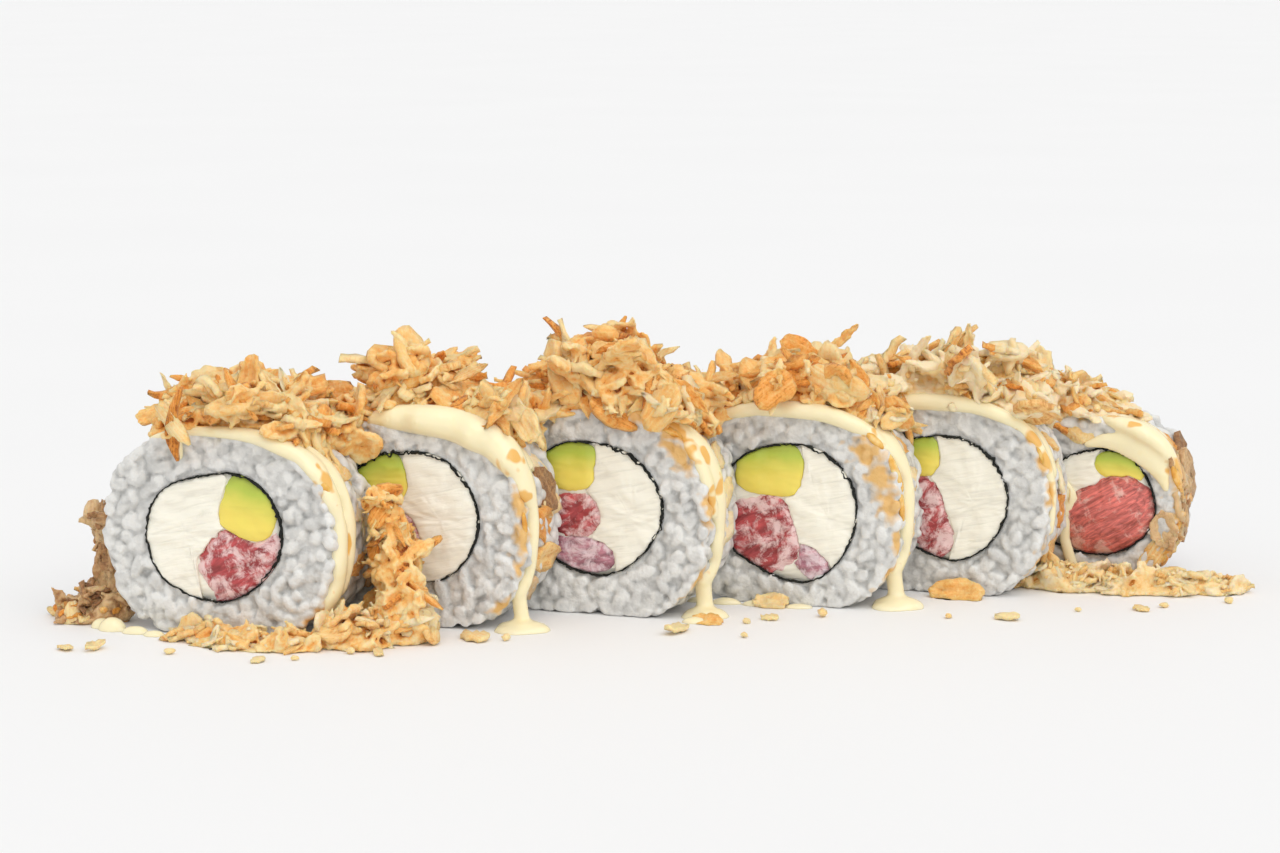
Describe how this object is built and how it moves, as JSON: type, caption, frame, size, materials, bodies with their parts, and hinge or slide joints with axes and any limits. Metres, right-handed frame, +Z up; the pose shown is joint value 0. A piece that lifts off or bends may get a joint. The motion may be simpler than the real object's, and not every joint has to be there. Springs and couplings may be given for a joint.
{
  "type": "uramaki roll",
  "caption": "Inside-out rice roll cut in slices that stand in a staggered row, filled with fish, avocado and soft cheese, under fried onion crisps and sauce.",
  "frame": {"origin": "middle of the underside of the box round the whole row, on the surface it stands on", "axes": "+X along the row from the nearest slice to the end slice, +Z up, cut faces towards -Y and a little -X"},
  "size_m": [0.2624, 0.0568, 0.0627],
  "materials": {
    "rice": "moist, grainy",
    "seaweed": "dry, crinkled",
    "avocado": "moist, smooth",
    "tuna": "moist, fibrous",
    "pale_tuna": "moist, frosted",
    "cream_cheese": "smooth, spread",
    "crisps": "dry, flaky, oily sheen"
  },
  "bodies": {
    "root": {"rice_1": "rice", "seaweed_1": "seaweed", "avocado_1": "avocado", "tuna_1": "tuna", "cream_cheese_1": "cream_cheese", "rice_2": "rice", "seaweed_2": "seaweed", "avocado_2": "avocado", "tuna_2": "tuna", "cream_cheese_2": "cream_cheese", "rice_3": "rice", "seaweed_3": "seaweed", "avocado_3": "avocado", "tuna_3": "tuna", "pale_tuna_3": "pale_tuna", "cream_cheese_3": "cream_cheese", "rice_4": "rice", "seaweed_4": "seaweed", "avocado_4": "avocado", "tuna_4": "tuna", "pale_tuna_4": "pale_tuna", "cream_cheese_4": "cream_cheese", "rice_5": "rice", "seaweed_5": "seaweed", "avocado_5": "avocado", "tuna_5": "tuna", "cream_cheese_5": "cream_cheese", "rice_6": "rice", "seaweed_6": "seaweed", "tuna_6": "tuna", "avocado_6": "avocado", "cream_cheese_6": "cream_cheese", "crisp_heap": "crisps", "crisps_left": "crisps", "crisps_front": "crisps", "crisps_right": "crisps"}
  },
  "joints": []
}
